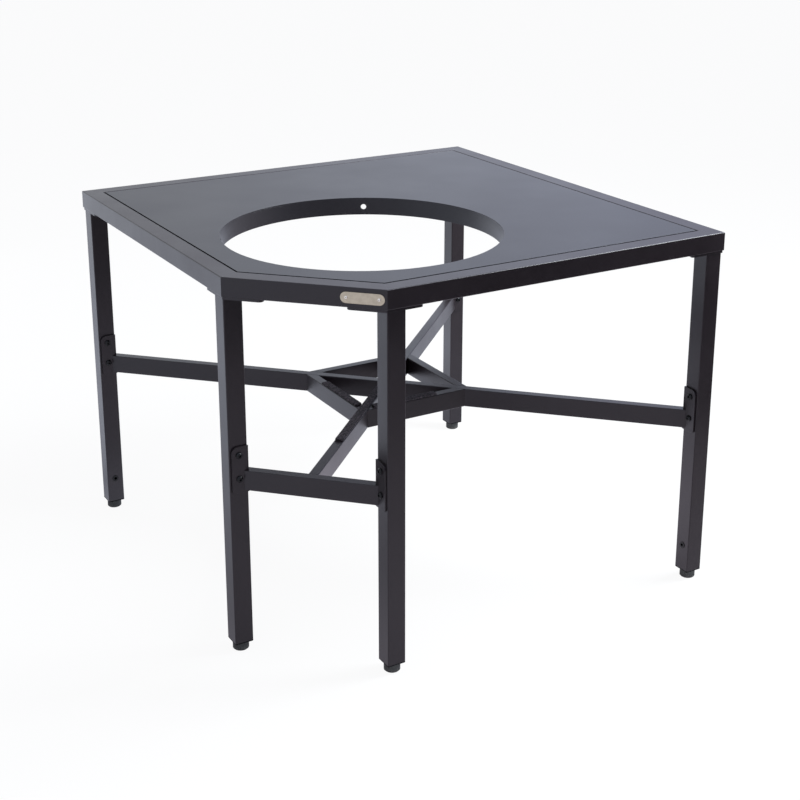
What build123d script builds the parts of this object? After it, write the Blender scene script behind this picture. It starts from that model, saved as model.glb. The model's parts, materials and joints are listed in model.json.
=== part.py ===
from build123d import *

import math
import os

# Five-sided steel corner table that holds a round charcoal grill in its top.
# Millimetres, +Z up, floor at Z 0, origin under the middle of the table's bounding box.
# The cut-off front edge faces -Y and the square back corner points to +Y.
os.makedirs("parts", exist_ok=True)

# Overall sizes
height = 770
side = 1000
corner_cut = 220

# Square tube of the top rails and the legs
tube = 38
tube_wall = 2
tube_round = 2

# Drop-in top panel, its opening and the ring welded under the opening
panel_thick = 3
panel_gap = 3
opening_radius = 285
ring_wall = 3
ring_hole_dia = 12
ring_hole_count = 4
ring_hole_start = 15.7
ledge_width = 22
ledge_thick = 3

# Corner plates between the rails and the legs
plate_thick = 5
plate_reveal = 2
plate_width = 40
plate_arm = 76
plate_round = 8
plate_bolt_reach = 46
leg_inset = 3.5

# Lower frame of rectangular tube
bar_top = 385
bar_height = 40
bar_width = 20
bar_wall = 2
bar_round = 1.5

# Bracket plates that bolt the lower frame to the legs
bracket_thick = 4
bracket_margin = 4
bracket_below = 4
bracket_above = 50
bracket_top_round = 12
bracket_bottom_round = 5
bracket_screw_drop = 15
bracket_screw_rise = 33
bracket_screw_room = 2.4

# Socket screws
screw_dia = 8
screw_head_dia = 13
screw_head_height = 4.5
screw_head_bevel = 2.5
screw_socket = 5
screw_socket_depth = 2.5
screw_length = 20
screw_clearance = 0.2

# Felt strips that the grill's base stands on
felt_thick = 4
felt_width = 18
felt_reach = 175
felt_gap = 1

# Levelling feet
foot_dia = 32
foot_height = 18
foot_floor = 5
foot_bevel = 2
stud_dia = 10
stud_length = 55
stud_clearance = 0.3
stud_press = 0.1
insert_height = 30
insert_rim = 3
insert_rim_bevel = 1
insert_clearance = 0.2
insert_round = 1.5

# Threaded sockets in the outer legs
socket_level = 77
socket_dia = 11
socket_bore = 6.8
socket_flange_dia = 14.5
socket_flange = 1
socket_depth = 15

# Blank name plate on the front rail
name_length = 82
name_height = 21
name_thick = 1.2
name_x = 110
rivet_spacing = 61
rivet_dia = 3
rivet_head_dia = 6.5
rivet_head_height = 1.4
rivet_head_bevel = 0.9
rivet_length = 7
rivet_core_dia = 1.9
rivet_core_depth = 1
rivet_clearance = 0.1

# Worked out from the sizes above
ROOT2 = math.sqrt(2)
half_diagonal = side / ROOT2
cut_half = corner_cut / ROOT2
half_depth = half_diagonal - cut_half / 2
diagonal_y = -cut_half / 2
rail_bottom = height - tube
leg_top = rail_bottom - plate_thick
leg_bottom = foot_height + insert_rim
panel_bottom = height - panel_thick
bar_bottom = bar_top - bar_height
leg_offset = leg_inset + tube / 2
# The opening's centre is as far from the front edge as from the two sides beside it.
cradle_reach = half_diagonal - cut_half * (2 + ROOT2)
opening_y = diagonal_y - cradle_reach
clear_through = 1

SIDES = {
    "left": ("left", "front_left"),
    "front": ("front_left", "front_right"),
    "right": ("front_right", "right"),
    "back_right": ("right", "back"),
    "back_left": ("back", "left"),
}
CORNERS = ("left", "front_left", "front_right", "right", "back")
# Which way each leg's bracket faces in plan, and on which side of it the bar lies
FACE_ANGLE = {"left": -45, "front_left": -45, "front_right": 225, "right": 225, "back": -45}
BAR_HAND = {"left": 1, "front_left": 1, "front_right": -1, "right": -1, "back": -1}


def outline(inset):
    """Plan corners of the five-sided top, moved in from its outer faces."""
    reach = half_diagonal - inset * ROOT2
    front_x = cut_half - inset * (ROOT2 - 1)
    front_y = inset - half_depth
    return {
        "left": Vector(-reach, diagonal_y),
        "front_left": Vector(-front_x, front_y),
        "front_right": Vector(front_x, front_y),
        "right": Vector(reach, diagonal_y),
        "back": Vector(0, half_depth - inset * ROOT2),
    }


def prism(points, bottom, top):
    """Upright solid over a plan polygon."""
    face = make_face(Polyline(*points, close=True))
    return Pos(0, 0, bottom) * extrude(face, top - bottom, dir=(0, 0, 1))


def strip(side_name, outer, inner, bottom, top):
    """Mitred strip along one side of the top, between two insets."""
    first, last = SIDES[side_name]
    out, into = outline(outer), outline(inner)
    return prism([out[first], out[last], into[last], into[first]], bottom, top)


def arms(corner):
    """The sides that meet at a corner, each with the direction that leads away from it."""
    middle = outline(tube / 2)
    for name, (first, last) in SIDES.items():
        if corner in (first, last):
            other = last if corner == first else first
            yield name, (middle[other] - middle[corner]).normalized()


def bolt_points():
    """Plan places of the corner plates' bolts, with the side that each one enters."""
    for corner in CORNERS:
        for name, away in arms(corner):
            yield name, outline(tube / 2)[corner] + away * plate_bolt_reach


def upright_hole(point, radius, bottom, top):
    """Cylinder used to drill upward through a plate or a wall."""
    return Pos(point.X, point.Y, (bottom + top) / 2) * Cylinder(radius, top - bottom)


def rail(side_name):
    """Square tube of the top frame, mitred at both ends."""
    first, last = SIDES[side_name]
    run = outline(0)[last] - outline(0)[first]
    solid = strip(side_name, 0, tube, rail_bottom, height)
    solid = fillet(solid.edges().filter_by(Axis((0, 0, 0), run)), tube_round)
    solid -= strip(side_name, tube_wall, tube - tube_wall, rail_bottom + tube_wall, height - tube_wall)
    for name, point in bolt_points():
        if name == side_name:
            radius = screw_dia / 2 + screw_clearance
            top = rail_bottom + tube_wall + clear_through
            solid -= upright_hole(point, radius, rail_bottom - clear_through, top)
    if side_name == "front":
        for place in rivet_places():
            solid -= place * drill(rivet_dia / 2 + rivet_clearance, tube_wall)
    return solid


def ledge(side_name):
    """Flat strip on a rail's inner face that the panel lies on."""
    return strip(side_name, tube, tube + ledge_width, panel_bottom - ledge_thick, panel_bottom)


def top_panel():
    """Sheet panel with the round opening, flush with the rails."""
    solid = prism(list(outline(tube + panel_gap).values()), panel_bottom, height)
    centre = Vector(0, opening_y)
    solid -= upright_hole(centre, opening_radius, panel_bottom - clear_through, height + clear_through)
    return solid


def opening_ring():
    """Rolled strip under the panel that lines the opening, with its round side holes."""
    centre = Vector(0, opening_y)
    solid = upright_hole(centre, opening_radius + ring_wall, rail_bottom, panel_bottom)
    solid -= upright_hole(centre, opening_radius, rail_bottom - clear_through, panel_bottom + clear_through)
    middle = (rail_bottom + panel_bottom) / 2
    hole = Rot(0, 90, 0) * drill(ring_hole_dia / 2, ring_wall)
    for turn in PolarLocations(opening_radius + ring_wall, ring_hole_count, ring_hole_start):
        solid -= Pos(0, opening_y, middle) * turn * hole
    return solid


def corner_plate(corner):
    """Angled plate on a leg's top that follows both rails."""
    out = outline(plate_reveal)[corner]
    into = outline(plate_reveal + plate_width)[corner]
    (_, first), (_, last) = arms(corner)
    points = [out]
    for away, outer_first in ((first, True), (last, False)):
        tip = out + away * plate_arm
        heel = into + away * (plate_arm - (into - out).dot(away))
        points += [tip, heel, into] if outer_first else [heel, tip]
    solid = prism(points, leg_top, rail_bottom)
    ends = solid.edges().filter_by(Axis.Z).sort_by_distance((out.X, out.Y, leg_top))[-4:]
    solid = fillet(ends, plate_round)
    for _, point in bolt_points():
        radius = screw_dia / 2 + screw_clearance
        solid -= upright_hole(point, radius, leg_top - clear_through, rail_bottom + clear_through)
    return solid


def screw():
    """Button-head screw, head above Z 0 and shank below it."""
    head = Pos(0, 0, screw_head_height / 2) * Cylinder(screw_head_dia / 2, screw_head_height)
    head = chamfer(head.edges().sort_by(Axis.Z)[-1], screw_head_bevel)
    socket = extrude(RegularPolygon(screw_socket / 2, 6, major_radius=False), screw_head_height)
    shank = Pos(0, 0, -screw_length / 2) * Cylinder(screw_dia / 2, screw_length)
    return head - Pos(0, 0, screw_head_height - screw_socket_depth) * socket + shank


def corner_plate_bolts():
    """Screws that go up through the corner plates into the rails."""
    return [Pos(point.X, point.Y, leg_top) * Rot(180, 0, 0) * screw() for _, point in bolt_points()]


def leg_centre(corner):
    """Plan centre of a leg."""
    centre = outline(leg_offset)[corner]
    if corner.startswith("front"):
        y = leg_inset + tube / ROOT2 - half_depth
        x = half_diagonal - leg_offset * ROOT2 + y - diagonal_y
        centre = Vector(math.copysign(x, centre.X), y)
    return centre


def leg_face(corner):
    """Plane through a leg's axis, facing as its bracket does, with local Y up."""
    angle = math.radians(FACE_ANGLE[corner])
    out = (math.cos(angle), math.sin(angle), 0)
    along = (-math.sin(angle), math.cos(angle), 0)
    centre = leg_centre(corner)
    return Plane(origin=(centre.X, centre.Y, 0), x_dir=along, z_dir=out)


def drill(radius, wall):
    """Cylinder on local Z that clears a wall lying just below local Z 0."""
    depth = wall + 2 * clear_through
    return Pos(0, 0, -wall / 2) * Cylinder(radius, depth)


def screw_places(corner):
    """Places of a bracket's two screws on its leg's face, clear of the bar beside them."""
    bar_edge = tube / 2 + bracket_thick - bar_width / ROOT2
    x = BAR_HAND[corner] * (bar_edge - screw_head_dia / 2 - bracket_screw_room)
    return [Pos(x, bar_top - bracket_screw_drop), Pos(x, bar_top + bracket_screw_rise)]


def leg(corner):
    """Square tube leg with its screw holes."""
    inner = tube - 2 * tube_wall
    section = RectangleRounded(tube, tube, tube_round) - Rectangle(inner, inner)
    centre = leg_centre(corner)
    solid = Pos(centre.X, centre.Y, leg_bottom) * Rot(0, 0, 45) * extrude(section, leg_top - leg_bottom)
    face = leg_face(corner).offset(tube / 2)
    for place in screw_places(corner):
        solid -= face * place * drill(screw_dia / 2 + screw_clearance, tube_wall)
    if corner in ("left", "right"):
        solid -= face * Pos(0, socket_level) * drill(socket_dia / 2 + screw_clearance, tube_wall)
    return solid


def leg_insert(corner):
    """Square threaded plug in a leg's lower end, with a rim that closes the tube's end."""
    width = tube - 2 * tube_wall - 2 * insert_clearance
    rim = extrude(RectangleRounded(tube, tube, tube_round), insert_rim)
    rim = chamfer(rim.faces().sort_by(Axis.Z)[0].edges(), insert_rim_bevel)
    plug = Pos(0, 0, insert_rim) * extrude(RectangleRounded(width, width, insert_round), insert_height)
    top = insert_rim + insert_height + clear_through
    bore = upright_hole(Vector(0, 0), stud_dia / 2 + stud_clearance, -clear_through, top)
    centre = leg_centre(corner)
    return Pos(centre.X, centre.Y, foot_height) * Rot(0, 0, 45) * (rim + plug - bore)


def foot_pad(corner):
    """Round pad of a levelling foot, hollowed for its stud."""
    pad = Pos(0, 0, foot_height / 2) * Cylinder(foot_dia / 2, foot_height)
    pad = chamfer(pad.edges().sort_by(Axis.Z)[0], foot_bevel)
    depth = foot_height - foot_floor + clear_through
    pad -= Pos(0, 0, foot_floor + depth / 2) * Cylinder(stud_dia / 2 + stud_press, depth)
    centre = leg_centre(corner)
    return Pos(centre.X, centre.Y, 0) * pad


def foot_stud(corner):
    """Threaded stud of a levelling foot, as a plain rod."""
    centre = leg_centre(corner)
    return Pos(centre.X, centre.Y, foot_floor + stud_length / 2) * Cylinder(stud_dia / 2, stud_length)


def bracket(corner):
    """Plate on a leg's face, rounded on the side away from its bar."""
    hand = BAR_HAND[corner]
    inner = hand * tube / 2
    outer = -hand * (tube / 2 - bracket_margin)
    low, high = bar_bottom - bracket_below, bar_top + bracket_above
    face = make_face(Polyline((inner, low), (inner, high), (outer, high), (outer, low), close=True))
    face = fillet(face.vertices().sort_by_distance((outer, high))[0], bracket_top_round)
    face = fillet(face.vertices().sort_by_distance((outer, low))[0], bracket_bottom_round)
    solid = extrude(face, bracket_thick, dir=(0, 0, 1))
    for place in screw_places(corner):
        solid -= Pos(0, 0, bracket_thick) * place * drill(screw_dia / 2 + screw_clearance, bracket_thick)
    return leg_face(corner).offset(tube / 2) * solid


def bracket_screws():
    """Screws of all the bracket plates."""
    made = []
    for corner in CORNERS:
        face = leg_face(corner).offset(tube / 2 + bracket_thick)
        made += [face * place * screw() for place in screw_places(corner)]
    return made


def leg_sockets():
    """Flanged threaded sockets low on the two outer legs."""
    made = []
    flange = Pos(0, 0, socket_flange / 2) * Cylinder(socket_flange_dia / 2, socket_flange)
    barrel = Pos(0, 0, -socket_depth / 2) * Cylinder(socket_dia / 2, socket_depth)
    bore = Pos(0, 0, socket_flange) * drill(socket_bore / 2, socket_flange + socket_depth)
    for corner in ("left", "right"):
        face = leg_face(corner).offset(tube / 2)
        made.append(face * Pos(0, socket_level) * (flange + barrel - bore))
    return made


def leg_room(corner):
    """The space that a leg and its bracket take, which the bars are cut to."""
    depth = tube + bracket_thick
    return leg_face(corner) * Pos(0, height / 2, bracket_thick / 2) * Box(tube, height, depth)


def bar(start, end):
    """Rectangular tube between two plan points, at the lower frame's level."""
    run = end - start
    middle = (bar_top + bar_bottom) / 2
    plane = Plane(origin=(start.X, start.Y, middle), x_dir=(run.Y, -run.X, 0), z_dir=(run.X, run.Y, 0))
    inner = Rectangle(bar_width - 2 * bar_wall, bar_height - 2 * bar_wall)
    section = RectangleRounded(bar_width, bar_height, bar_round) - inner
    return plane * extrude(section, run.length)


def bar_between_legs(first, last):
    """Bar whose ends are notched to the corners of two legs."""
    return bar(leg_centre(first), leg_centre(last)) - leg_room(first) - leg_room(last)


def spine_front():
    """Bar from the front stretcher back to the cross bar."""
    start = Vector(0, leg_centre("front_left").Y + bar_width / 2)
    return bar(start, Vector(0, diagonal_y - bar_width / 2))


def spine_back():
    """Bar from the cross bar back to the back leg."""
    return bar(Vector(0, diagonal_y + bar_width / 2), leg_centre("back")) - leg_room("back")


def cradle_bar(x_sign, y_sign):
    """One side of the square cradle, cut to the cross bar and the spine."""
    start = Vector(x_sign * (cradle_reach + bar_width), diagonal_y - y_sign * bar_width)
    end = Vector(-x_sign * bar_width, diagonal_y + y_sign * (cradle_reach + bar_width))
    room = 2 * cradle_reach
    off = (bar_width + room) / 2
    quarter = Pos(x_sign * off, diagonal_y + y_sign * off, height / 2) * Box(room, room, height)
    return bar(start, end) & quarter


def felt_strip(start, end):
    """Felt strip on a bar's top, between two plan points."""
    run = end - start
    turn = math.degrees(math.atan2(run.Y, run.X))
    centre = (start + end) / 2
    place = Pos(centre.X, centre.Y, bar_top + felt_thick / 2) * Rot(0, 0, turn)
    return place * Box(run.length, felt_width, felt_thick)


def felt_spine():
    """Felt on the spine, under the opening's centre and to both sides of it."""
    front = Vector(0, opening_y - felt_reach)
    return felt_strip(front, Vector(0, diagonal_y - bar_width / 2 - felt_gap))


def felt_cradle(x_sign):
    """Felt on one front bar of the cradle, clear of the spine's felt."""
    away = Vector(x_sign / ROOT2, 1 / ROOT2)
    centre = Vector(0, opening_y)
    first = felt_width / 2 * (1 + ROOT2) + felt_gap
    return felt_strip(centre + away * first, centre + away * felt_reach)


def name_face():
    """Plane on the front rail's face at the name plate's middle, with local Y up."""
    return Plane(origin=(name_x, -half_depth, height - tube / 2), x_dir=(1, 0, 0), z_dir=(0, -1, 0))


def rivet_places():
    """Places of the name plate's rivets on the front rail's face."""
    return [name_face() * Pos(x, 0) for x in (-rivet_spacing / 2, rivet_spacing / 2)]


def name_plate():
    """Blank plate with round ends."""
    solid = name_face() * extrude(SlotOverall(name_length, name_height), name_thick)
    for place in rivet_places():
        solid -= place * Pos(0, 0, name_thick) * drill(rivet_dia / 2 + rivet_clearance, name_thick)
    return solid


def name_plate_rivets():
    """Blind rivets of the name plate, hollow where their pins broke off."""
    head = Pos(0, 0, rivet_head_height / 2) * Cylinder(rivet_head_dia / 2, rivet_head_height)
    head = chamfer(head.edges().sort_by(Axis.Z)[-1], rivet_head_bevel)
    rivet = head + Pos(0, 0, -rivet_length / 2) * Cylinder(rivet_dia / 2, rivet_length)
    rivet -= Pos(0, 0, rivet_head_height) * drill(rivet_core_dia / 2, rivet_core_depth)
    return [place * Pos(0, 0, name_thick) * rivet for place in rivet_places()]


nodes = {
    "top_panel": top_panel(),
    "opening_ring": opening_ring(),
    "corner_plate_bolts": corner_plate_bolts(),
    "bracket_screws": bracket_screws(),
    "leg_sockets": leg_sockets(),
    "cross_bar": bar_between_legs("left", "right"),
    "front_stretcher": bar_between_legs("front_left", "front_right"),
    "spine_front": spine_front(),
    "spine_back": spine_back(),
    "felt_spine": felt_spine(),
    "name_plate": name_plate(),
    "name_plate_rivets": name_plate_rivets(),
}
for side_name in SIDES:
    nodes[f"rail_{side_name}"] = rail(side_name)
    nodes[f"ledge_{side_name}"] = ledge(side_name)
for corner in CORNERS:
    nodes[f"corner_plate_{corner}"] = corner_plate(corner)
    nodes[f"leg_{corner}"] = leg(corner)
    nodes[f"leg_insert_{corner}"] = leg_insert(corner)
    nodes[f"foot_pad_{corner}"] = foot_pad(corner)
    nodes[f"foot_stud_{corner}"] = foot_stud(corner)
    nodes[f"bracket_{corner}"] = bracket(corner)
for x_name, x_sign in (("left", -1), ("right", 1)):
    nodes[f"felt_front_{x_name}"] = felt_cradle(x_sign)
    for y_name, y_sign in (("front", -1), ("back", 1)):
        nodes[f"cradle_{y_name}_{x_name}"] = cradle_bar(x_sign, y_sign)

for name, shape in nodes.items():
    solids = shape if isinstance(shape, list) else [shape]
    export_step(Compound(children=solids), f"parts/{name}.step")
print(len(nodes), "nodes written")
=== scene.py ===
# %% [markdown]
# A black steel corner table, in Blender
#
# The table has five sides, a round lined opening in its top and a lower frame that carries a
# ceramic grill on felt strips. The solids come from the CAD model, in metres and in their places.
# This lesson sets the camera and the light, and then adds what a solid can't show: the coat, the
# metals, the rubber, the felt and the screw threads.

# %% Load the model
import json
import math

import bmesh
import bpy
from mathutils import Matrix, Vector, noise


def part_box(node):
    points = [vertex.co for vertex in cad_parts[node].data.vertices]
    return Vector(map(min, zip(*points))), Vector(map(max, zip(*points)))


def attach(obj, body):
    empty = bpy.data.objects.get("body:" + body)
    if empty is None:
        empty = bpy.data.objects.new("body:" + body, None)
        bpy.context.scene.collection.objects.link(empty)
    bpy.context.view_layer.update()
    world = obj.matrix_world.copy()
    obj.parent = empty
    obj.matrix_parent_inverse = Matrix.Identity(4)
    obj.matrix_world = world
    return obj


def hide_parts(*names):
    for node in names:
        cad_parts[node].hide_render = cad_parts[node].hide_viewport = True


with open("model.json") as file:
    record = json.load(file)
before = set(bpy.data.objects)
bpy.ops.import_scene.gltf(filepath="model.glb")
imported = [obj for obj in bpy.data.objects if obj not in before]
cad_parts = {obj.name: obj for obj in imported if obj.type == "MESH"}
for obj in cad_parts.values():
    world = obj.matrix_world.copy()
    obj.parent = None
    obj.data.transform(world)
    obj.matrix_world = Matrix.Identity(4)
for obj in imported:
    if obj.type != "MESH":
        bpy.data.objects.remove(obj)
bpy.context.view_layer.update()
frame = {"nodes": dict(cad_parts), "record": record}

# %% [markdown]
# The camera
#
# The picture is square, 800 pixels a side. The eye's place, its turn and its tilt were worked out
# from the corners of the top, the feet and the rim of the opening. A small shift of the lens keeps
# the camera a little more level, which keeps the legs more upright, as in the picture.

# %% Camera
picture_side = 800
sensor_width = 36
focal_pixels = 1431.4
eye = (0.7855, -2.9286, 1.5092)
eye_turn = math.radians(14.8)
eye_tilt = math.radians(16.82)
lens_shift = -0.15
quarter_turn = math.pi / 2

view = bpy.data.objects.new("view", bpy.data.cameras.new("view"))
view.location = eye
view.rotation_euler = (quarter_turn - eye_tilt, 0, eye_turn)
view.data.sensor_width = sensor_width
view.data.lens = focal_pixels * sensor_width / picture_side
view.data.shift_y = lens_shift
bpy.context.collection.objects.link(view)
bpy.context.scene.camera = view
print("lens", round(view.data.lens, 2), "mm")

# %% [markdown]
# Writing shader nodes
#
# A material is a small network of nodes. Each node could be added and linked by hand, in four or
# five lines. A few helpers do it in one: the first adds any node with its inputs, and the others
# are the sums, fades and mixed colours that come up again and again. The finishes below then read
# as plain lists.


# %% Helpers that add nodes
def give(tree, socket, value):
    """Links another node's output to a socket, or sets the socket's own value."""
    if isinstance(value, bpy.types.NodeSocket):
        tree.links.new(value, socket)
    else:
        socket.default_value = value


def put(tree, kind, inputs=None, **choices):
    """Adds a node. An input is a value, or another node's output to link from."""
    made = tree.nodes.new(kind)
    for name, value in choices.items():
        setattr(made, name, value)
    for name, value in (inputs or {}).items():
        give(tree, made.inputs[name], value)
    return made


def own_place(tree):
    """A point's place in the object's own coordinates, in metres."""
    return put(tree, "ShaderNodeTexCoord").outputs["Object"]


def parts(tree, vector):
    """X, Y and Z of a vector."""
    return put(tree, "ShaderNodeSeparateXYZ", {0: vector}).outputs


# %% Helpers for numbers and vectors
def number(tree, operation, first, second, clamp=False):
    """Output of a Math node."""
    made = put(tree, "ShaderNodeMath", {0: first, 1: second}, operation=operation, use_clamp=clamp)
    return made.outputs["Value"]


def times(tree, first, second):
    """Two numbers multiplied."""
    return number(tree, "MULTIPLY", first, second)


def span(tree, value, low, high, to_low, to_high):
    """A number carried from one range to another."""
    ranges = {"From Min": low, "From Max": high, "To Min": to_low, "To Max": to_high}
    return put(tree, "ShaderNodeMapRange", {"Value": value, **ranges}).outputs["Result"]


def fade(tree, value, start, end):
    """A share that goes from 0 at the start to 1 at the end."""
    return span(tree, value, start, end, 0.0, 1.0)


def between(tree, share, low, high):
    """A number that goes from low at a share of 0 to high at a share of 1."""
    return span(tree, share, 0.0, 1.0, low, high)


def vectors(tree, operation, first, second, gives="Vector"):
    """Output of a Vector Math node. A distance or a dot product gives a Value."""
    made = put(tree, "ShaderNodeVectorMath", {0: first, 1: second}, operation=operation)
    return made.outputs[gives]


# %% Helpers for colours
def blend(tree, share, first, second):
    """A colour that goes from the first at a share of 0 to the second at a share of 1."""
    made = put(tree, "ShaderNodeMix", data_type="RGBA")
    colours = [socket for socket in made.inputs if socket.type == "RGBA"]
    give(tree, made.inputs[0], share)
    give(tree, colours[0], first)
    give(tree, colours[1], second)
    return next(socket for socket in made.outputs if socket.type == "RGBA")


def grey(level, blue=0.0):
    """A grey with a touch of blue, as a colour with alpha."""
    return (level, level * (1 + blue / 2), level * (1 + blue), 1)


print("a grey with a touch of blue:", grey(0.5, blue=0.1))

# %% [markdown]
# The studio
#
# Black metal has little colour of its own: it shows what it mirrors. In one even white room every
# face of a leg would be the same grey. A photographer shapes such metal with paper, cards and lamps
# that the picture doesn't show, and so does this lesson. Light Path tells the camera's own rays
# from those that a mirror sends on, so a thing can look one way and be mirrored in another.


# %% Helpers for the studio
def from_camera(tree):
    """1 where a ray comes straight from the camera."""
    return put(tree, "ShaderNodeLightPath").outputs["Is Camera Ray"]


def seen(tree):
    """1 where a ray comes from the camera, a mirror or glass."""
    path = put(tree, "ShaderNodeLightPath").outputs
    first = number(tree, "MAXIMUM", path["Is Camera Ray"], path["Is Glossy Ray"])
    return number(tree, "MAXIMUM", first, path["Is Transmission Ray"])


def sheet_object(name, size_x, size_y, place, turn=(0, 0, 0)):
    """A flat rectangle that belongs to the studio."""
    mesh = bpy.data.meshes.new(name)
    x, y = size_x / 2, size_y / 2
    mesh.from_pydata([(-x, -y, 0), (x, -y, 0), (x, y, 0), (-x, y, 0)], [], [(0, 1, 2, 3)])
    made = bpy.data.objects.new(name, mesh)
    made.location = place
    made.rotation_euler = turn
    bpy.context.collection.objects.link(made)
    return made


def new_tree(name):
    """A material with an empty network and its output node."""
    made = bpy.data.materials.new(name)
    made.use_nodes = True
    made.node_tree.nodes.clear()
    return made, made.node_tree, put(made.node_tree, "ShaderNodeOutputMaterial")


# %% [markdown]
# The floor
#
# To the camera the floor is plain white paper with the table's soft shadow. In reflections it has a
# second colour, which is painted light and shade and fades with the place on the floor: warm light
# under the table, cool light at the left and behind, and painted shade at the right. The legs' left
# faces turn blue grey by it, and the right ones stay nearly black.

# %% The floor's painted light and shade in reflections
floor_side = 60
# Painted light and shade: the warm, cool and dim colours stand for the light around the table, as
# reflections see it.
warm_middle = (0.86, 0.81, 0.94, 1)
cool_side = (0.98, 1.03, 1.2, 1)
dim_side = (0.56, 0.5, 0.56, 1)
left_fade = (0.1, -0.9)
back_fade = (0.2, 0.7)
right_fade = (0.4, 1.5)

floor = sheet_object("floor", floor_side, floor_side, (0, 0, 0))
paper, tree, out = new_tree("floor_paper")
place = own_place(tree)
plan = parts(tree, place)
to_left = fade(tree, plan["X"], *left_fade)
to_back = fade(tree, plan["Y"], *back_fade)
to_right = fade(tree, plan["X"], *right_fade)
mirrored = blend(tree, number(tree, "MAXIMUM", to_left, to_back), warm_middle, cool_side)
mirrored = blend(tree, to_right, mirrored, dim_side)
print("floor", floor_side, "m a side")

# %% [markdown]
# Pools of light and shade
#
# Small lamps and cards close to the table would give each leg its own tone. Real ones would light
# the floor as well, so here they are round pools in the floor's second colour, which only
# reflections see. Each has its middle, its radius and what it adds there, below 0 for shade.

# %% Pools on the floor
pools = {
    "far left": ((-1.8, 0.35, 0.0), 1.3, 0.75),
    "back left": ((-0.7, 0.95, 0.0), 0.6, 2.1),
    "under the left side": ((-0.6, 0.08, 0.0), 0.5, 1.1),
    "under the middle": ((0.2, -0.05, 0.0), 0.5, 1.15),
    "shade at the left leg": ((-0.82, -0.02, 0.0), 0.3, -0.8),
    "shade at the front legs": ((-0.3, -0.52, 0.0), 0.8, -0.32),
}
glow = 1.0
for middle, radius, gain in pools.values():
    away = vectors(tree, "DISTANCE", place, middle, gives="Value")
    glow = number(tree, "ADD", glow, span(tree, away, radius, 0.0, 0.0, gain))
print("pools:", ", ".join(pools))

# %% [markdown]
# The paper itself
#
# Paper that only scatters light would look grey here, and more light on it would also fall on the
# table. So most of what is seen of it is an even glow, and the rest is scattered light, which keeps
# the shadow.

# %% Floor paper
paper_white = 0.95
glow_share = 0.93

direct = from_camera(tree)
shown = blend(tree, direct, mirrored, grey(1.0))
strength = between(tree, direct, glow, 1.0)
even = put(tree, "ShaderNodeEmission", {"Color": shown, "Strength": strength}).outputs["Emission"]
lit = put(tree, "ShaderNodeBsdfDiffuse", {"Color": grey(paper_white)}).outputs["BSDF"]
share = times(tree, seen(tree), glow_share)
both = put(tree, "ShaderNodeMixShader", {0: share, 1: lit, 2: even}).outputs["Shader"]
tree.links.new(both, out.inputs["Surface"])
floor.data.materials.append(paper)
print("paper with", len(tree.nodes), "nodes")

# %% [markdown]
# The room
#
# Beyond the floor there is only the world, white to the camera. The table's top mirrors it, and its
# grey turns bluer to the right, so the world's cast turns from almost neutral at the left to cool
# at the right in reflections. As light on dull surfaces it has half its strength, which leaves the
# shaping to the lamps.

# %% Room
far_white = 0.963
dull_strength = 0.5
sky_left = (0.92, 0.96, 1.03, 1)
sky_right = (0.88, 0.95, 1.2, 1)
sky_fade = (-0.42, -0.12)

room = bpy.data.worlds.new("room")
bpy.context.scene.world = room
room.use_nodes = True
tree = room.node_tree
tree.nodes.clear()
heading = put(tree, "ShaderNodeTexCoord").outputs["Generated"]
sideways = parts(tree, heading)["X"]
cast = blend(tree, fade(tree, sideways, *sky_fade), sky_left, sky_right)
daylight = blend(tree, from_camera(tree), cast, grey(far_white))
strength = between(tree, seen(tree), dull_strength, 1.0)
sky = put(tree, "ShaderNodeBackground", {"Color": daylight, "Strength": strength})
out = put(tree, "ShaderNodeOutputWorld")
tree.links.new(sky.outputs["Background"], out.inputs["Surface"])
print("room with", len(tree.nodes), "nodes")

# %% [markdown]
# The dark card
#
# The faces that look to the right would mirror the white room. A dark card stands upright beside
# the table on that side, and keeps them dark. Only reflections see it: it throws no shadow and the
# camera looks through it.

# %% Dark card
card_length = 3.4
card_height = 1.3
card_place = (1.55, -1.6, 0.66)
card_black = 0.02

card = sheet_object("dark_card", card_length, card_height, card_place, (quarter_turn, 0, quarter_turn))
card.visible_camera = False
card.visible_diffuse = False
card.visible_shadow = False
black_paper, tree, out = new_tree("card_black")
dark = put(tree, "ShaderNodeBsdfDiffuse", {"Color": grey(card_black)}).outputs["BSDF"]
tree.links.new(dark, out.inputs["Surface"])
card.data.materials.append(black_paper)
print("card", card_length, "by", card_height, "m")

# %% [markdown]
# The lamps
#
# One soft lamp, high at the right, gives most of the light and the shadow on the floor. Two weak
# ones, at the left and behind, lift the faces that it leaves out. Area lamps are used because their
# size makes the shadow's edge soft.


# %% Lamps
lamp_colour = (0.9, 0.95, 1.0)


def lamp(name, place, aim, size, power):
    """A square soft lamp that the camera doesn't see."""
    made = bpy.data.objects.new(name, bpy.data.lights.new(name, "AREA"))
    made.data.size = size
    made.data.energy = power
    made.data.color = lamp_colour
    made.visible_camera = False
    made.location = place
    made.rotation_euler = (Vector(aim) - Vector(place)).to_track_quat("-Z", "Y").to_euler()
    bpy.context.collection.objects.link(made)
    return made


lamps = (
    lamp("lamp_left", place=(-2.5, 1.1, 0.5), aim=(0, 0, 0.4), size=1.6, power=5),
    lamp("lamp_right", place=(1.9, 0.7, 2.5), aim=(0.2, 0, 0.7), size=1.2, power=145),
    lamp("lamp_behind", place=(-0.6, 3.6, 1.4), aim=(0.3, 0.4, 0.75), size=1.6, power=2),
)
bpy.context.scene.view_settings.view_transform = "Standard"
print("lamps", {made.name: made.data.energy for made in lamps}, "W")

# %% [markdown]
# Effects shared by several finishes
#
# Three effects come back in many finishes: the grain of a skin, the rub on edges and the lines of
# brushing. Each could be drawn again in every material. As node groups they are built once, and
# each material sets its own scale and strength.


# %% Helpers for groups
NUMBER = "NodeSocketFloat"
DIRECTION = "NodeSocketVector"


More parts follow.
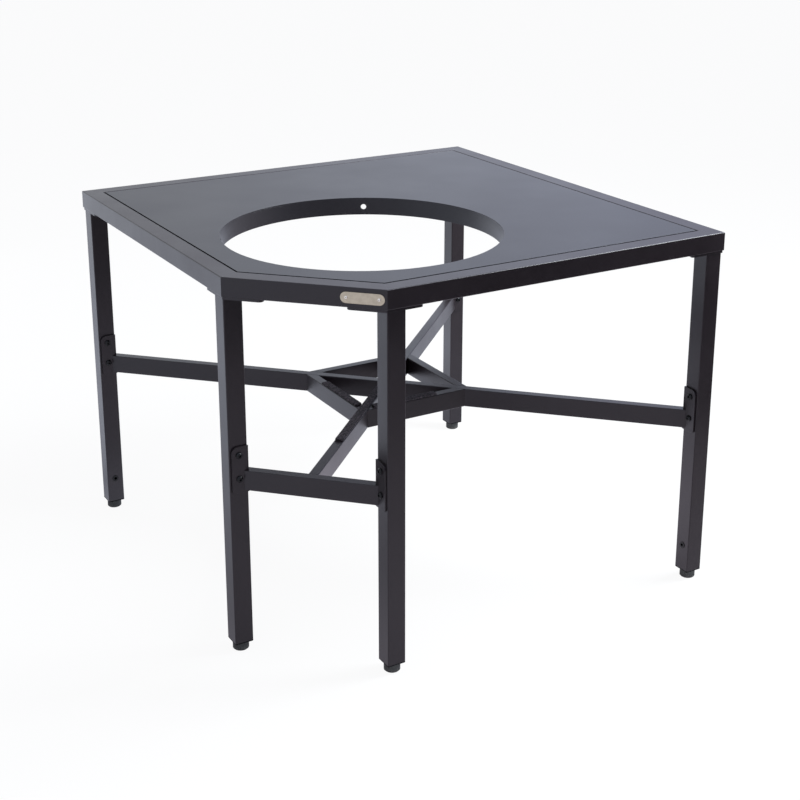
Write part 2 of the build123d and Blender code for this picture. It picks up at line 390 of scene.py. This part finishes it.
def new_group(name, inputs, outputs):
    """A shader node group with named number inputs and named outputs."""
    group = bpy.data.node_groups.new(name, "ShaderNodeTree")
    for label, value in inputs.items():
        socket = group.interface.new_socket(label, in_out="INPUT", socket_type=NUMBER)
        socket.default_value = value
    for label, kind in outputs.items():
        group.interface.new_socket(label, in_out="OUTPUT", socket_type=kind)
    return group, put(group, "NodeGroupInput").outputs, put(group, "NodeGroupOutput").inputs


def speckle(tree, scale, detail=2.0, rough=0.5, place=None):
    """Noise in the part's own coordinates, as a value near 0.5."""
    inputs = {"Scale": scale, "Detail": detail, "Roughness": rough}
    inputs["Vector"] = place or own_place(tree)
    return put(tree, "ShaderNodeTexNoise", inputs).outputs["Fac"]


# %% [markdown]
# Grain
#
# Powder coat melts into a skin with a fine orange peel, and moulded and plated skins have a grain
# too. Its gloss drifts a little over a large piece. The group puts out a height for the bump and a
# slow drift for colour and roughness.

# %% Grain group
peel_scale = 0.22
fine_share = 0.6
drift_range = (0.3, 0.7)

grain, given, gives = new_group(
    "coat_grain", {"Grain Scale": 900.0, "Drift Scale": 5.0}, {"Height": NUMBER, "Drift": NUMBER}
)
fine = speckle(grain, given["Grain Scale"], detail=3.0, rough=0.55)
peel = speckle(grain, times(grain, given["Grain Scale"], peel_scale), detail=1.0)
height = number(grain, "ADD", times(grain, fine, fine_share), peel)
grain.links.new(height, gives["Height"])
slow = speckle(grain, given["Drift Scale"], detail=3.0, rough=0.6)
grain.links.new(fade(grain, slow, *drift_range), gives["Drift"])
print(grain.name, "with", len(grain.nodes), "nodes")

# %% [markdown]
# Rubbed edges and painted edge highlights
#
# Handling rubs the edges first. The Bevel node rounds the normal near an edge without changing the
# mesh, so the place where it turns away from the face is the edge. Noise makes the rub patchy. In the
# black coat and the screws the same mask also paints a paler highlight along the edge.

# %% Edge group
bevel_samples = 6
flat_match = 0.99
edge_match = 0.8
patch_range = (0.35, 0.65)
least_rub = 0.25

edges, given, gives = new_group(
    "edge_rub_and_highlight", {"Width": 0.0012, "Patchiness": 90.0}, {"Rub And Highlight": NUMBER, "Normal": DIRECTION}
)
bevel = put(edges, "ShaderNodeBevel", {"Radius": given["Width"]}, samples=bevel_samples)
soft = bevel.outputs["Normal"]
facing = put(edges, "ShaderNodeNewGeometry").outputs["Normal"]
turned = fade(edges, vectors(edges, "DOT_PRODUCT", soft, facing, gives="Value"), flat_match, edge_match)
cloud = speckle(edges, given["Patchiness"], detail=4.0, rough=0.65)
patchy = span(edges, cloud, *patch_range, least_rub, 1.0)
edges.links.new(times(edges, turned, patchy), gives["Rub And Highlight"])
edges.links.new(soft, gives["Normal"])
print(edges.name, "with", len(edges.nodes), "nodes")

# %% [markdown]
# Brushing
#
# Brushed metal has fine lines one way and a thin stain. Noise that is squeezed along one axis draws
# out into lines, and plain noise gives the stain.

# %% Brushing group
stain_scale = 120.0
stain_range = (0.35, 0.7)

brush, given, gives = new_group(
    "brushing", {"Line Scale": 900.0, "Stretch": 0.03}, {"Lines": NUMBER, "Stain": NUMBER}
)
squeeze = put(brush, "ShaderNodeCombineXYZ", {"X": given["Stretch"], "Y": 1.0, "Z": 1.0})
drawn = vectors(brush, "MULTIPLY", own_place(brush), squeeze.outputs["Vector"])
lines = speckle(brush, given["Line Scale"], detail=4.0, rough=0.6, place=drawn)
brush.links.new(lines, gives["Lines"])
stain = speckle(brush, stain_scale, detail=4.0, rough=0.6)
brush.links.new(fade(brush, stain, *stain_range), gives["Stain"])
print(brush.name, "with", len(brush.nodes), "nodes")

# %% [markdown]
# The finishes
#
# Each finish starts from one Principled shader. Values that are the same all over sit on its own
# sockets. Colour, roughness and normal follow the groups, so that no surface is one flat tone.


# %% Helpers for finishes
finishes = {}


def socket_label(word):
    """A socket's name, from a word with underscores."""
    return word.replace("_", " ")


def finish(name, **sockets):
    """A material with a Principled shader, kept under the record's slot name."""
    made, tree, out = new_tree(name)
    shader = put(tree, "ShaderNodeBsdfPrincipled")
    tree.links.new(shader.outputs["BSDF"], out.inputs["Surface"])
    for word, value in sockets.items():
        shader.inputs[socket_label(word)].default_value = value
    finishes[name] = made
    return tree, shader.inputs


def use(tree, group, **values):
    """Places a node group and sets its inputs."""
    made = put(tree, "ShaderNodeGroup", node_tree=group)
    for word, value in values.items():
        made.inputs[socket_label(word)].default_value = value
    return made.outputs


def rubbed_and_highlit(tree, edge, base, edge_tone, share):
    """A colour that turns by a share to the edge tone where the edge mask is high: wear, and in some
    finishes a painted highlight.
    """
    return blend(tree, times(tree, edge["Rub And Highlight"], share), base, edge_tone)


def bumped(tree, height, depth, strength, normal=None):
    """Normal raised by a height, over the rounded normal of the edges where it is given."""
    inputs = {"Height": height, "Distance": depth, "Strength": strength}
    if normal is not None:
        inputs["Normal"] = normal
    return put(tree, "ShaderNodeBump", inputs).outputs["Normal"]


def feed(tree, sockets, **sources):
    """Links outputs to a shader's inputs."""
    for word, source in sources.items():
        tree.links.new(source, sockets[socket_label(word)])


# %% [markdown]
# Black powder coat
#
# The tubes, plates and bars have one satin black coat, a touch warm: the warmth is painted shade, a
# tint in its colour for the warm cast of the shade on the side faces. The panel's is nearly neutral,
# and its touch of blue is painted light, for the cool light on the top. The panel is a large flat
# sheet, where the grain is finer and the drift of gloss is wider. Rubbed edges are a little paler and
# smoother; the paler colour is partly wear and partly a painted highlight. The two are one function
# with different values, because the real coat is one powder.


# %% Powder coat on tubes and on the panel
drift_shares = (0.85, 1.15)
rub_polish = 0.08


def powder_coat(name, cast, grain_scale, drift_scale, rough_low, rough_high):
    """A satin coat. The cast is its mean colour, tinted by painted light and shade, and it drifts a
    little to both sides.
    """
    tree, sockets = finish(name, Specular_IOR_Level=0.42)
    coat = use(tree, grain, Grain_Scale=grain_scale, Drift_Scale=drift_scale)
    edge = use(tree, edges, Width=0.0005, Patchiness=70.0)
    dark, light = ((*(part * share for part in cast), 1) for share in drift_shares)
    base = blend(tree, coat["Drift"], dark, light)
    # Painted highlight: the paler edge colour is partly wear and partly a highlight painted along the
    # edge.
    colour = rubbed_and_highlit(tree, edge, base, edge_tone=grey(0.09, blue=0.1), share=0.12)
    shine = between(tree, coat["Drift"], rough_low, rough_high)
    rough = number(tree, "SUBTRACT", shine, times(tree, edge["Rub And Highlight"], rub_polish))
    normal = bumped(tree, coat["Height"], depth=0.00008, strength=0.5, normal=edge["Normal"])
    feed(tree, sockets, Base_Color=colour, Roughness=rough, Normal=normal)


# Painted shade: the warm cast stands for the warm shade on the tubes' side faces.
powder_coat(
    "powder_coat",
    cast=(0.0132, 0.0088, 0.0108),
    grain_scale=1100.0,
    drift_scale=7.0,
    rough_low=0.325,
    rough_high=0.39,
)
# Painted light: the touch of blue stands for the cool light on the top.
powder_coat(
    "panel_coat",
    cast=(0.0128, 0.0117, 0.0142),
    grain_scale=1300.0,
    drift_scale=3.0,
    rough_low=0.345,
    rough_high=0.405,
)
print("coats", sorted(finishes))

# %% [markdown]
# Screws, studs, plugs and feet
#
# The screws are blackened steel, with a thin oil sheen and bright rims, which are partly wear and
# partly a painted glint. The studs are zinc plated. The plugs in the legs are moulded plastic, and the
# feet are rubber, dull and a little dusty towards the floor. Each is its own short list of grain, edge,
# colour and roughness.

# %% Blackened steel
tree, sockets = finish("black_screw", Specular_IOR_Level=0.22)
coat = use(tree, grain, Grain_Scale=1600.0, Drift_Scale=60.0)
edge = use(tree, edges, Width=0.0005, Patchiness=400.0)
base = blend(tree, coat["Drift"], grey(0.003, blue=0.1), grey(0.006, blue=0.15))
# Painted glint: the bright rim is partly wear and partly a glint painted along the edge.
colour = rubbed_and_highlit(tree, edge, base, edge_tone=grey(0.1), share=0.2)
rough = between(tree, coat["Drift"], low=0.2, high=0.32)
normal = bumped(tree, coat["Height"], depth=0.00004, strength=0.5, normal=edge["Normal"])
feed(tree, sockets, Base_Color=colour, Roughness=rough, Normal=normal)
print("black_screw with", len(tree.nodes), "nodes")

# %% Zinc plate
tree, sockets = finish("zinc_steel", Metallic=1.0)
coat = use(tree, grain, Grain_Scale=2000.0, Drift_Scale=80.0)
colour = blend(tree, coat["Drift"], grey(0.42, blue=0.06), grey(0.62, blue=0.04))
rough = between(tree, coat["Drift"], low=0.24, high=0.42)
normal = bumped(tree, coat["Height"], depth=0.00003, strength=0.4)
feed(tree, sockets, Base_Color=colour, Roughness=rough, Normal=normal)
print("zinc_steel with", len(tree.nodes), "nodes")

# %% Moulded plastic
tree, sockets = finish("insert_plastic", Specular_IOR_Level=0.1)
coat = use(tree, grain, Grain_Scale=2400.0, Drift_Scale=40.0)
edge = use(tree, edges, Width=0.0006, Patchiness=200.0)
base = blend(tree, coat["Drift"], grey(0.003), grey(0.006))
colour = rubbed_and_highlit(tree, edge, base, edge_tone=grey(0.03), share=0.2)
rough = between(tree, coat["Drift"], low=0.5, high=0.62)
normal = bumped(tree, coat["Height"], depth=0.00005, strength=0.5, normal=edge["Normal"])
feed(tree, sockets, Base_Color=colour, Roughness=rough, Normal=normal)
print("insert_plastic with", len(tree.nodes), "nodes")

# %% Foot rubber
dark_rubber = (0.042, 0.042, 0.04, 1)
light_rubber = (0.06, 0.06, 0.056, 1)
dust = (0.11, 0.1, 0.09, 1)
dust_height = 0.009
dust_share = 0.7

tree, sockets = finish("foot_rubber", Specular_IOR_Level=0.3)
coat = use(tree, grain, Grain_Scale=1500.0, Drift_Scale=50.0)
edge = use(tree, edges, Width=0.001, Patchiness=300.0)
above = parts(tree, own_place(tree))["Z"]
dusty = times(tree, span(tree, above, dust_height, 0.0, 0.0, dust_share), coat["Drift"])
base = blend(tree, coat["Drift"], dark_rubber, light_rubber)
base = rubbed_and_highlit(tree, edge, base, edge_tone=grey(0.09), share=0.35)
colour = blend(tree, dusty, base, dust)
rough = between(tree, coat["Drift"], low=0.62, high=0.8)
normal = bumped(tree, coat["Height"], depth=0.0001, strength=0.6, normal=edge["Normal"])
feed(tree, sockets, Base_Color=colour, Roughness=rough, Normal=normal)
print("small parts", sorted(finishes))

# %% [markdown]
# The small plate on the front rail
#
# It is a plain plate of warm brushed metal with round ends, held by two domed rivets. Its brush
# lines run along it, and its colour turns darker near the edges of the plate and of each rivet. Plate
# and rivets share one function, and the rivets are paler and smoother.


# %% Plate and rivets
line_range = (0.3, 0.7)


def brushed_metal(name, light, deep, rough_low, rough_high):
    """Brushed metal that goes from its light colour to its deep one in lines, stains and edges."""
    tree, sockets = finish(name, Metallic=0.9)
    brushed = use(tree, brush, Line_Scale=1400.0, Stretch=0.03)
    edge = use(tree, edges, Width=0.0009, Patchiness=500.0)
    base = blend(tree, times(tree, brushed["Stain"], 0.35), light, deep)
    base = blend(tree, times(tree, brushed["Lines"], 0.3), base, deep)
    colour = rubbed_and_highlit(tree, edge, base, edge_tone=deep, share=0.5)
    rough = span(tree, brushed["Lines"], *line_range, rough_low, rough_high)
    normal = bumped(tree, brushed["Lines"], depth=0.00004, strength=0.5, normal=edge["Normal"])
    feed(tree, sockets, Base_Color=colour, Roughness=rough, Normal=normal)


brushed_metal(
    "plate_metal",
    light=(0.56, 0.49, 0.37, 1),
    deep=(0.28, 0.235, 0.17, 1),
    rough_low=0.3,
    rough_high=0.48,
)
brushed_metal(
    "rivet_metal",
    light=(0.86, 0.81, 0.71, 1),
    deep=(0.55, 0.5, 0.42, 1),
    rough_low=0.2,
    rough_high=0.32,
)
print("metals", [name for name in finishes if name.endswith("metal")])

# %% [markdown]
# Felt
#
# Pressed felt is a mat of dark and paler fibres with no weave. Hair would be far too heavy for
# strips this small, so the fibres are drawn: bent cell edges give short curled strands, mottling
# gives the uneven press, both raise the bump, and a little sheen stands for the nap.

# %% Felt finish
curl_scale = 260.0
curl_reach = 0.006
strand_scale = 700.0
strand_width = 0.25
strand_share = 0.35
mottle_scale = 240.0
mottle_range = (0.45, 0.62)
mottle_share = 0.75
dark_fibre = (0.006, 0.0052, 0.0056, 1)
pale_fibre = (0.1, 0.082, 0.089, 1)

tree, sockets = finish(
    "felt", Roughness=0.95, Specular_IOR_Level=0.1, Sheen_Weight=0.08, Sheen_Roughness=0.5
)
place = own_place(tree)
curl = put(tree, "ShaderNodeTexNoise", {"Vector": place, "Scale": curl_scale, "Detail": 2.0})
pull = {0: curl.outputs["Color"], "Scale": curl_reach}
pulled = put(tree, "ShaderNodeVectorMath", pull, operation="SCALE").outputs["Vector"]
bent = {"Vector": vectors(tree, "ADD", place, pulled), "Scale": strand_scale}
cells = put(tree, "ShaderNodeTexVoronoi", bent, feature="DISTANCE_TO_EDGE")
strand = span(tree, cells.outputs["Distance"], 0.0, strand_width, 1.0, 0.0)
mottle = speckle(tree, mottle_scale, detail=5.0, rough=0.7)
pressed = span(tree, mottle, *mottle_range, 0.0, mottle_share)
pale = number(tree, "ADD", times(tree, strand, strand_share), pressed, clamp=True)
colour = blend(tree, pale, dark_fibre, pale_fibre)
height = number(tree, "ADD", strand, mottle)
feed(tree, sockets, Base_Color=colour, Normal=bumped(tree, height, depth=0.0005, strength=0.7))
print("finishes", sorted(finishes))

# %% [markdown]
# Giving each piece its finish
#
# The record names a material slot for each piece of the model. The piece keeps its mesh, and its
# material slot takes the finish of that name.

# %% Finishes onto the model
for part in frame["record"]["subparts"]:
    piece = frame["nodes"][part["node"]]
    for holder in piece.material_slots:
        holder.material = finishes[part["material_slot"]]

# %% [markdown]
# A skin over rings
#
# The felt strips and the threaded studs are both long shapes whose section changes on the way. A
# swept curve keeps one section, so each is a row of rings instead, with a skin of four-sided faces
# from ring to ring and a face over each end.


# %% Skin helper
def skin(name, rings, slot):
    """A closed smooth piece over rings of points, with one finish."""
    mesh = bmesh.new()
    rows = [[mesh.verts.new(point) for point in ring] for ring in rings]
    for first, last in zip(rows, rows[1:]):
        for i in range(len(first)):
            j = (i + 1) % len(first)
            mesh.faces.new((first[i], first[j], last[j], last[i]))
    mesh.faces.new(rows[0][::-1])
    mesh.faces.new(rows[-1])
    bmesh.ops.recalc_face_normals(mesh, faces=mesh.faces)
    made = bpy.data.objects.new(name, bpy.data.meshes.new(name))
    mesh.to_mesh(made.data)
    mesh.free()
    made.data.shade_smooth()
    made.data.materials.append(finishes[slot])
    bpy.context.collection.objects.link(made)
    return made


# %% [markdown]
# The felt strips
#
# The model holds each strip as a plain bar. A real strip is cut from a pressed mat: its edges are
# soft and not quite straight, and its face rises and falls a little. Each strip is a rounded
# section carried along its length and moved a little by smooth noise. The noise starts somewhere
# else in each run of Blender unless it is given a seed, so it gets one, and every run makes the
# same strips. A pad this thin and firm needs no cloth simulation.


# %% Section of a strip
edge_ease = 0.28
ease_points = 7


def felt_section(width, height):
    """Points round a strip's section, flat below and rounded above."""
    ease = height * edge_ease
    points = [(-width / 2, 0.0), (width / 2, 0.0)]
    for side in (1, -1):
        turn = range(ease_points) if side == 1 else reversed(range(ease_points))
        for i in turn:
            angle = quarter_turn * i / (ease_points - 1)
            x = width / 2 - ease + ease * math.cos(angle)
            points.append((side * x, height - ease + ease * math.sin(angle)))
    return points


# %% One strip
strip_step = 0.003
strip_share = 0.97
end_share = 0.9
bed_share = 0.1
broad_scale, broad_move = 120, 0.00025
fine_scale, fine_move = 700, 0.00012


def stirred(place):
    """A place moved a little by smooth noise of two sizes."""
    broad = noise.noise_vector(place * broad_scale) * broad_move
    fine = noise.noise_vector(place * fine_scale) * fine_move
    return place + (broad + fine)


def felt_strip(name, node, start, end, width, bottom, height):
    """A felt strip from start to end in plan, standing for a node of the model."""
    start, end = Vector(start), Vector(end)
    run = (end - start).normalized()
    across = Vector((-run.y, run.x))
    rows = round((end - start).length / strip_step)
    section = felt_section(width * strip_share, height * strip_share)
    rings = []
    for row in range(rows + 1):
        middle = start.lerp(end, row / rows)
        drawn_in = end_share if row in (0, rows) else 1.0
        ring = []
        for x, z in section:
            place = Vector((*(middle + across * x * drawn_in), bottom + z * drawn_in))
            on_bed = z <= height * bed_share
            ring.append(place if on_bed else stirred(place))
        rings.append(ring)
    made = skin(name, rings, "felt")
    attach(made, "frame")
    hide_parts(node)
    return made


# %% Three strips on their bars
felt_seed = 5
noise.seed_set(felt_seed)
low, high = (Vector(corner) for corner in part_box("felt_spine"))
felt_width = high.x - low.x
strips = [
    felt_strip(
        "felt_on_spine", "felt_spine", (0, low.y), (0, high.y), felt_width, low.z, high.z - low.z
    )
]
slant = felt_width / 2 / math.sqrt(2)
for side, sign in (("left", -1), ("right", 1)):
    low, high = (Vector(corner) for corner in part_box(f"felt_front_{side}"))
    inner = min(abs(low.x), abs(high.x)) + slant
    outer = max(abs(low.x), abs(high.x)) - slant
    start = (sign * inner, low.y + slant)
    end = (sign * outer, high.y - slant)
    node = f"felt_front_{side}"
    name = f"felt_on_{side}_bar"
    strips.append(felt_strip(name, node, start, end, felt_width, low.z, high.z - low.z))
print("felt", [(piece.name, len(piece.data.polygons)) for piece in strips])

# %% [markdown]
# Threaded studs
#
# The feet screw up into the legs. The model has plain rods there, and a thread shows when a foot is
# turned out. A thread is a surface whose radius rises and falls along the rod and winds once round
# it in each pitch. So one grid of rings makes it, and the winding is in the radius of each point.


# %% Stud threads
thread_pitch = 0.0015
thread_depth = thread_pitch * 0.6
thread_flat = 0.15
crest_share = 0.995
points_around = 28
rings_per_pitch = 5


def thread_radius(turns, crest, root):
    """Radius at a place in the thread's pitch, with flat crests and roots."""
    slope = abs(2 * (turns % 1.0) - 1)
    rise = (slope - thread_flat) / (1 - 2 * thread_flat)
    return root + (crest - root) * min(1.0, max(0.0, rise))


def stud(corner):
    """A threaded rod in place of a plain one."""
    node = f"foot_stud_{corner}"
    low, high = (Vector(edge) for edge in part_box(node))
    middle = (low + high) / 2
    crest = (high.x - low.x) / 2 * crest_share
    root = crest - thread_depth
    rows = round((high.z - low.z) / thread_pitch * rings_per_pitch)
    rings = []
    for row in range(rows + 1):
        z = low.z + (high.z - low.z) * row / rows
        lead = min(1.0, min(row, rows - row) / rings_per_pitch)
        ring = []
        for i in range(points_around):
            angle = 2 * math.pi * i / points_around
            radius = thread_radius(z / thread_pitch - i / points_around, crest, root)
            radius = root + (radius - root) * lead
            x = middle.x + radius * math.cos(angle)
            y = middle.y + radius * math.sin(angle)
            ring.append((x, y, z))
        rings.append(ring)
    made = skin(f"stud_{corner}", rings, "zinc_steel")
    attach(made, f"foot_{corner}")
    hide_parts(node)
    return made


studs = [stud(corner) for corner in ("left", "front_left", "front_right", "right", "back")]
print("studs", len(studs), "with", len(studs[0].data.polygons), "faces each")
